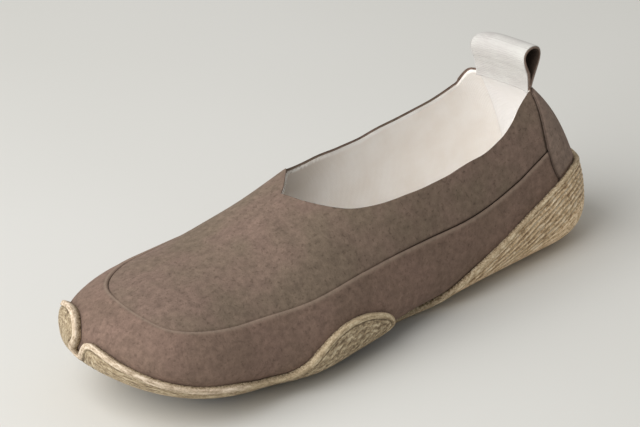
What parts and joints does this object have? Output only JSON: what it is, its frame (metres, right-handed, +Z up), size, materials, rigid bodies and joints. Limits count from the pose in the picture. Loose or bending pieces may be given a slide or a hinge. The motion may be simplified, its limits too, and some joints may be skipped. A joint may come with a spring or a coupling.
{
  "type": "slip-on shoe",
  "caption": "Low slip-on shoe for the left foot: hollow felted-cloth upper with an open collar, heel strip and pull loop, insole, and a thin moulded outsole wrapped up round heel and toe.",
  "frame": {"origin": "centre of the shoe's box on the floor that it stands on", "axes": "+X from heel to toe, +Y to the outer side of the left foot, +Z up"},
  "size_m": [0.2866, 0.1038, 0.0994],
  "materials": {
    "upper_felt": "felted, matt, flecked",
    "strip_felt": "felted, matt, flecked",
    "loop_tape": "woven tape, matt",
    "insole_cloth": "brushed cloth, matt",
    "board_cloth": "black cloth board, matt",
    "sole_rubber": "moulded, matt, flecked like jute"
  },
  "bodies": {
    "root": {"upper": "upper_felt", "heel_strip": "strip_felt", "pull_loop": "loop_tape", "insole": "insole_cloth", "bottom_board": "board_cloth", "outsole": "sole_rubber"}
  },
  "joints": []
}
